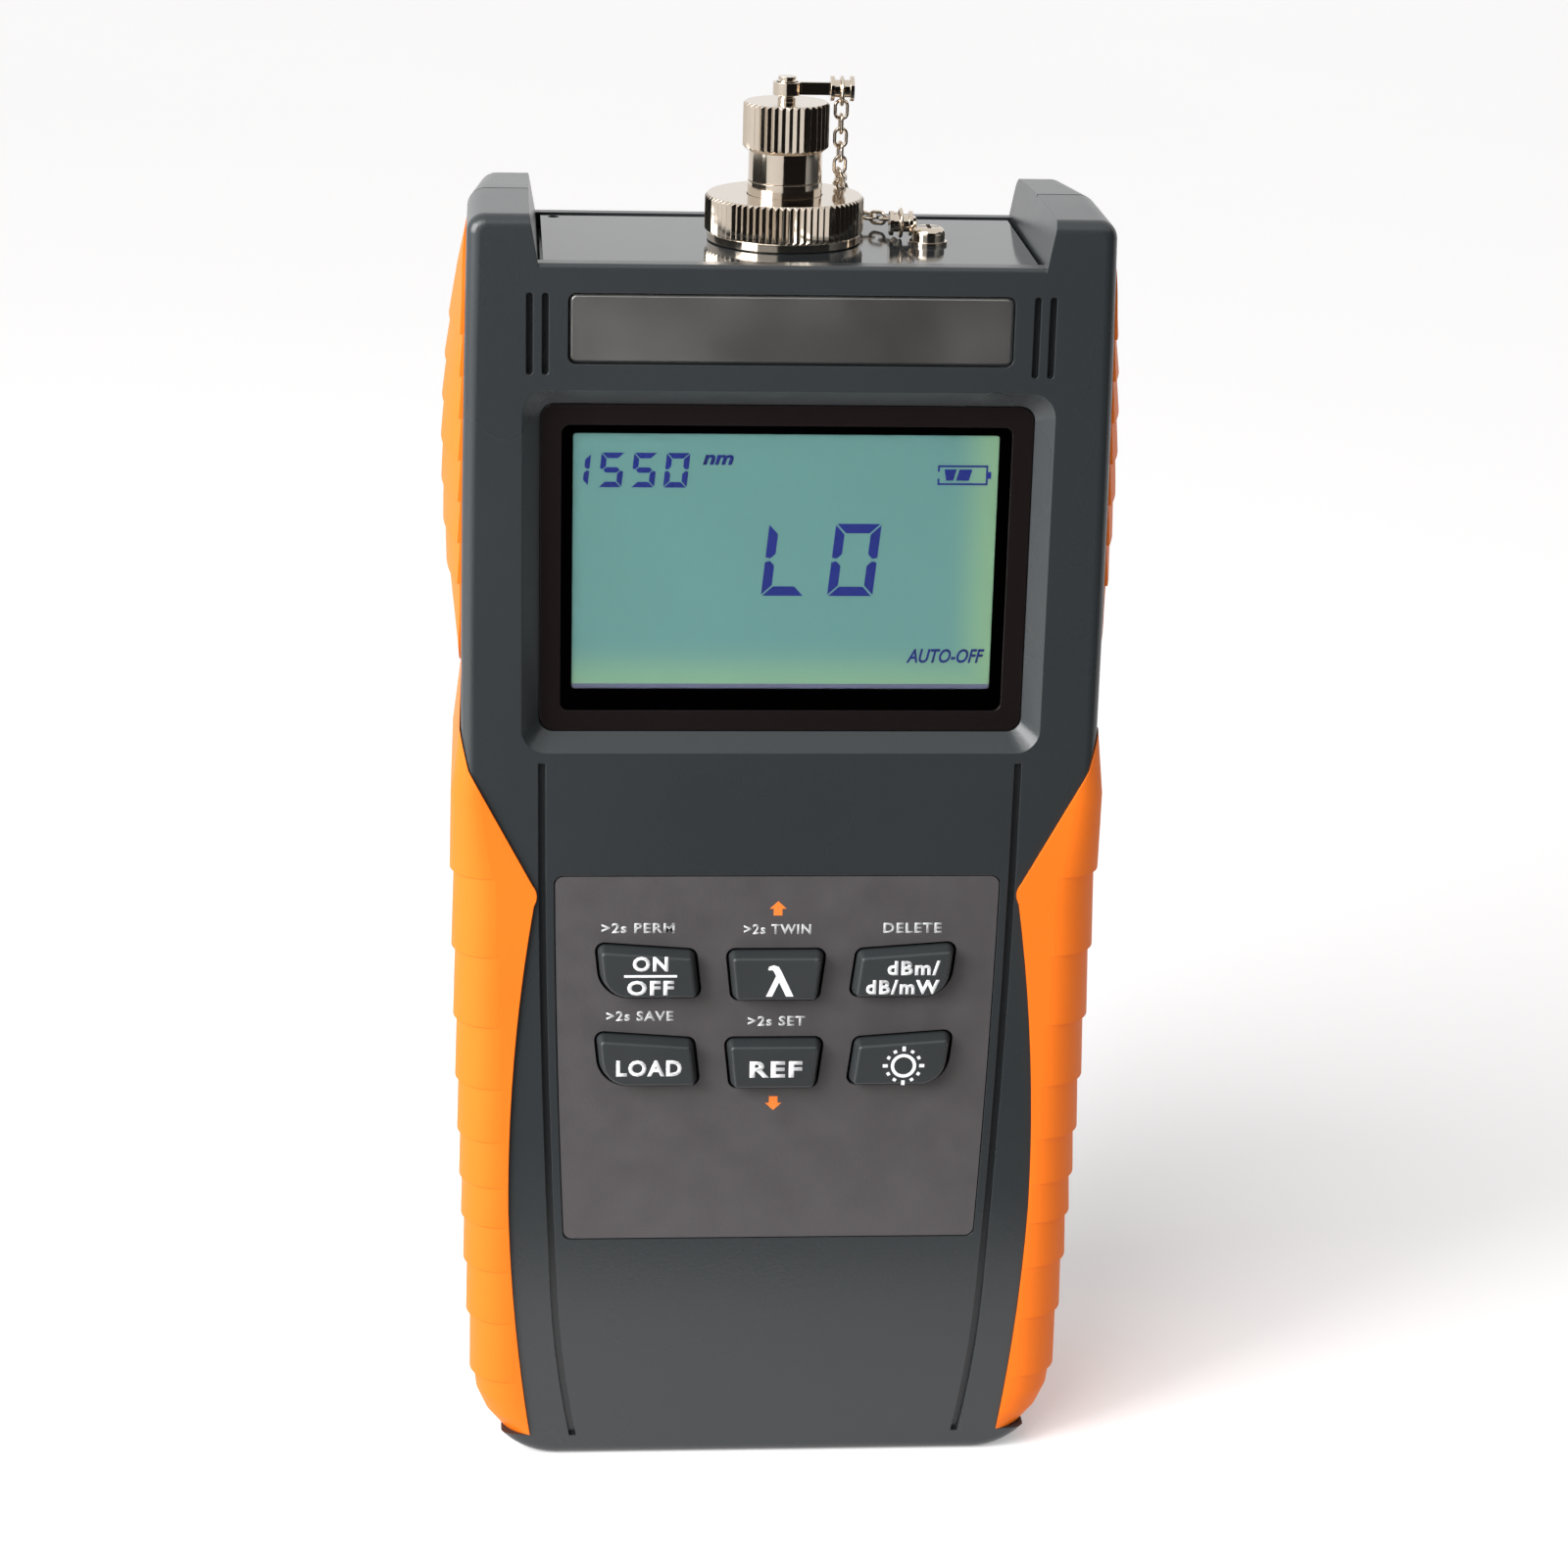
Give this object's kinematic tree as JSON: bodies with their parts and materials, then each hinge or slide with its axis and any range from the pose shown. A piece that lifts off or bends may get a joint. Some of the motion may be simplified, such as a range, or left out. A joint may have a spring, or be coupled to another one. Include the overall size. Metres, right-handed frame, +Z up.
{
  "type": "optical power meter",
  "caption": "Handheld meter with rubber side grips, a display, domed keys and a capped screw-thread fibre port between two ears at the top.",
  "frame": {"origin": "centre of the base of the overall box, the meter standing on its bottom end", "axes": "+Z up towards the fibre port, +X to the user's right, the display faces -Y"},
  "size_m": [0.083, 0.0376, 0.1761],
  "materials": {
    "case_plastic": "finely grained moulded plastic, dark grey",
    "grip_rubber": "soft satin moulded rubber, orange",
    "plate_metal": "satin",
    "overlay_film": "fine textured polyester film, brown-grey",
    "key_rubber": "satin moulded rubber, mid grey",
    "bezel_plastic": "satin, dark grey",
    "clear_lens": "clear polished",
    "mask_ink": "black print",
    "lcd": "liquid-crystal glass, teal",
    "inner_plastic": "moulded, off-white",
    "mat_rubber": "silicone",
    "board": "green solder mask",
    "steel": "zinc plated",
    "nickel": "satin nickel plate",
    "panel_plastic": "fine grained",
    "ceramic_sleeve": "polished zirconia",
    "cell": "plain printed jacket with steel ends"
  },
  "bodies": {
    "meter": {"front_shell": "case_plastic", "rear_shell": "case_plastic", "right_lower_grip": "grip_rubber", "left_lower_grip": "grip_rubber", "right_upper_grip": "grip_rubber", "left_upper_grip": "grip_rubber", "name_plate": "plate_metal", "keypad_overlay": "overlay_film", "display_bezel": "bezel_plastic", "display_lens": "clear_lens", "display_mask": "mask_ink", "lcd_glass": "lcd", "backlight_frame": "inner_plastic", "key_mat": "mat_rubber", "circuit_board": "board", "board_screws": "steel", "case_screws": "steel", "top_panel": "panel_plastic", "detector_housing": "nickel", "photodiode": "nickel", "fibre_adapter": "nickel", "ferrule_sleeve": "ceramic_sleeve", "anchor_spool": "nickel", "chain": "nickel", "chain_anchor": "nickel", "panel_screw": "nickel", "battery_cells": "cell", "battery_contacts": "steel"},
    "key_power": {"key_power": "key_rubber"},
    "key_wavelength": {"key_wavelength": "key_rubber"},
    "key_unit": {"key_unit": "key_rubber"},
    "key_load": {"key_load": "key_rubber"},
    "key_reference": {"key_reference": "key_rubber"},
    "key_backlight": {"key_backlight": "key_rubber"},
    "battery_door": {"battery_door": "case_plastic"},
    "ring_nut": {"ring_nut": "nickel"},
    "tether": {"cap_strap": "nickel", "cap_spool": "nickel"},
    "dust_cap": {"dust_cap": "nickel"}
  },
  "joints": [
    {"name": "key_power_press", "type": "slide", "parent": "meter", "child": "key_power", "axis": [0, 1, 0], "range_m": [0, 0.0008], "stiffness_N_per_m": 1500, "springref_m": -0.0004},
    {"name": "key_wavelength_press", "type": "slide", "parent": "meter", "child": "key_wavelength", "axis": [0, 1, 0], "range_m": [0, 0.0008], "stiffness_N_per_m": 1500, "springref_m": -0.0004},
    {"name": "key_unit_press", "type": "slide", "parent": "meter", "child": "key_unit", "axis": [0, 1, 0], "range_m": [0, 0.0008], "stiffness_N_per_m": 1500, "springref_m": -0.0004},
    {"name": "key_load_press", "type": "slide", "parent": "meter", "child": "key_load", "axis": [0, 1, 0], "range_m": [0, 0.0008], "stiffness_N_per_m": 1500, "springref_m": -0.0004},
    {"name": "key_reference_press", "type": "slide", "parent": "meter", "child": "key_reference", "axis": [0, 1, 0], "range_m": [0, 0.0008], "stiffness_N_per_m": 1500, "springref_m": -0.0004},
    {"name": "key_backlight_press", "type": "slide", "parent": "meter", "child": "key_backlight", "axis": [0, 1, 0], "range_m": [0, 0.0008], "stiffness_N_per_m": 1500, "springref_m": -0.0004},
    {"name": "battery_door_lift", "type": "slide", "parent": "meter", "child": "battery_door", "axis": [0, 1, 0], "range_m": [0, 0.022]},
    {"name": "ring_nut_turn", "type": "hinge", "parent": "meter", "child": "ring_nut", "pos_m": [0, 0.0005, 0.159], "axis": [0, 0, 1], "continuous": true},
    {"name": "cap_lift", "type": "slide", "parent": "meter", "child": "tether", "axis": [0, 0, 1], "range_m": [0, 0.012], "deforming": ["chain"]},
    {"name": "cap_turn", "type": "hinge", "parent": "tether", "child": "dust_cap", "pos_m": [0, 0.0005, 0.17], "axis": [0, 0, 1], "continuous": true}
  ]
}
